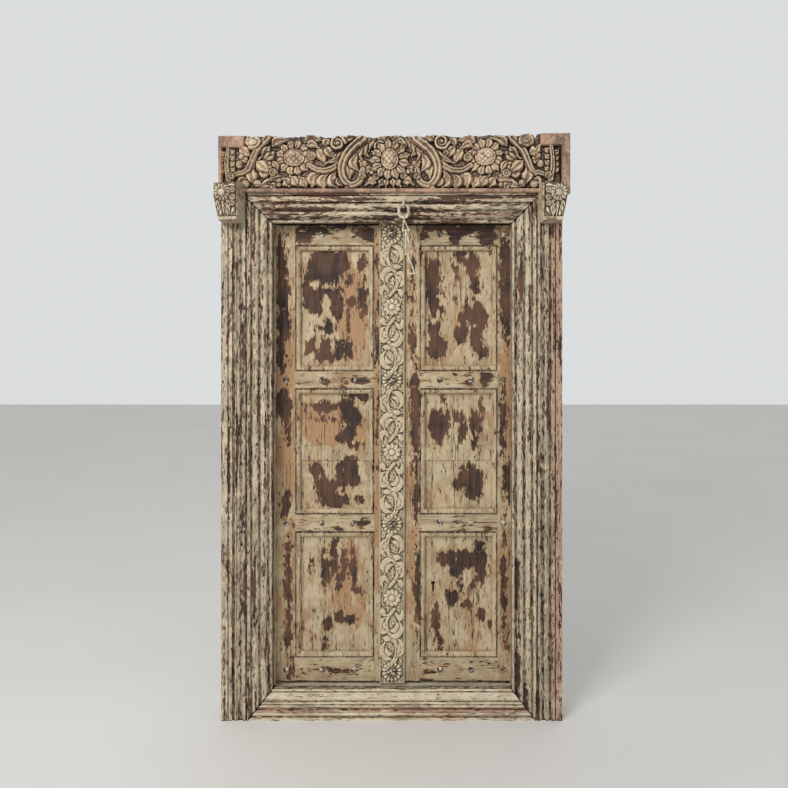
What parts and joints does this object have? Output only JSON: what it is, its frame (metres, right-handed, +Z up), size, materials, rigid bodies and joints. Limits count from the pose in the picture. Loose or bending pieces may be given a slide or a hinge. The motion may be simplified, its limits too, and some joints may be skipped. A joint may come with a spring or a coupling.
{
  "type": "carved wooden door with frame",
  "caption": "Old carved wooden door: panelled leaves turning on wooden pivots in a reeded frame under a scroll-carved header, with an iron door chain; closes a doorway.",
  "frame": {"origin": "middle of the sill's underside, half way through the frame's depth", "axes": "+X to the right seen from the front, +Y to the back, where the leaves open, +Z up"},
  "size_m": [1.232, 0.182, 2.058],
  "materials": {
    "frame_paint": "weathered cream paint over old wood",
    "leaf_paint": "flaking cream paint over dark wood",
    "carved_wood": "worn paint on carved wood",
    "strip_paint": "thick pale paint on carved wood",
    "bare_wood": "bare old wood",
    "iron": "painted-over wrought iron, worn"
  },
  "bodies": {
    "frame": {"jamb_left": "frame_paint", "jamb_right": "frame_paint", "head": "frame_paint", "sill": "frame_paint", "carved_header": "carved_wood", "header_dowels": "bare_wood", "capital_left": "carved_wood", "capital_right": "carved_wood", "chain_eye": "iron"},
    "left_leaf": {"left_hanging_stile": "leaf_paint", "left_meeting_stile": "leaf_paint", "left_top_rail": "leaf_paint", "left_upper_rail": "leaf_paint", "left_lower_rail": "leaf_paint", "left_bottom_rail": "leaf_paint", "left_top_panel": "leaf_paint", "left_middle_panel": "leaf_paint", "left_bottom_panel": "leaf_paint", "left_top_beads": "leaf_paint", "left_middle_beads": "leaf_paint", "left_bottom_beads": "leaf_paint", "left_nails": "iron", "carved_strip": "strip_paint", "strip_bosses": "iron"},
    "right_leaf": {"right_hanging_stile": "leaf_paint", "right_meeting_stile": "leaf_paint", "right_top_rail": "leaf_paint", "right_upper_rail": "leaf_paint", "right_lower_rail": "leaf_paint", "right_bottom_rail": "leaf_paint", "right_top_panel": "leaf_paint", "right_middle_panel": "leaf_paint", "right_bottom_panel": "leaf_paint", "right_top_beads": "leaf_paint", "right_middle_beads": "leaf_paint", "right_bottom_beads": "leaf_paint", "right_nails": "iron"},
    "ring": {"chain_ring": "iron"},
    "link_1": {"chain_link_1": "iron"},
    "link_2": {"chain_link_2": "iron"},
    "link_3": {"chain_link_3": "iron"}
  },
  "joints": [
    {"name": "left_leaf_swing", "type": "hinge", "parent": "frame", "child": "left_leaf", "pos_m": [-0.419, 0.036, 0.096], "axis": [0, 0, 1], "range_deg": [0, 90]},
    {"name": "right_leaf_swing", "type": "hinge", "parent": "frame", "child": "right_leaf", "pos_m": [0.419, 0.036, 0.096], "axis": [0, 0, -1], "range_deg": [0, 90]},
    {"name": "ring_swing", "type": "hinge", "parent": "frame", "child": "ring", "pos_m": [0.043, -0.0745, 1.8048], "axis": [-1, 0, 0], "range_deg": [-4, 60]},
    {"name": "link_1_swing", "type": "hinge", "parent": "ring", "child": "link_1", "pos_m": [0.043, -0.0745, 1.7608], "axis": [-1, 0, 0], "range_deg": [-5, 30]},
    {"name": "link_2_swing", "type": "hinge", "parent": "link_1", "child": "link_2", "pos_m": [0.051, -0.0745, 1.7148], "axis": [-1, 0, 0], "range_deg": [-5, 30]},
    {"name": "link_3_swing", "type": "hinge", "parent": "link_2", "child": "link_3", "pos_m": [0.06, -0.0745, 1.6318], "axis": [-1, 0, 0], "range_deg": [-5, 30]}
  ]
}
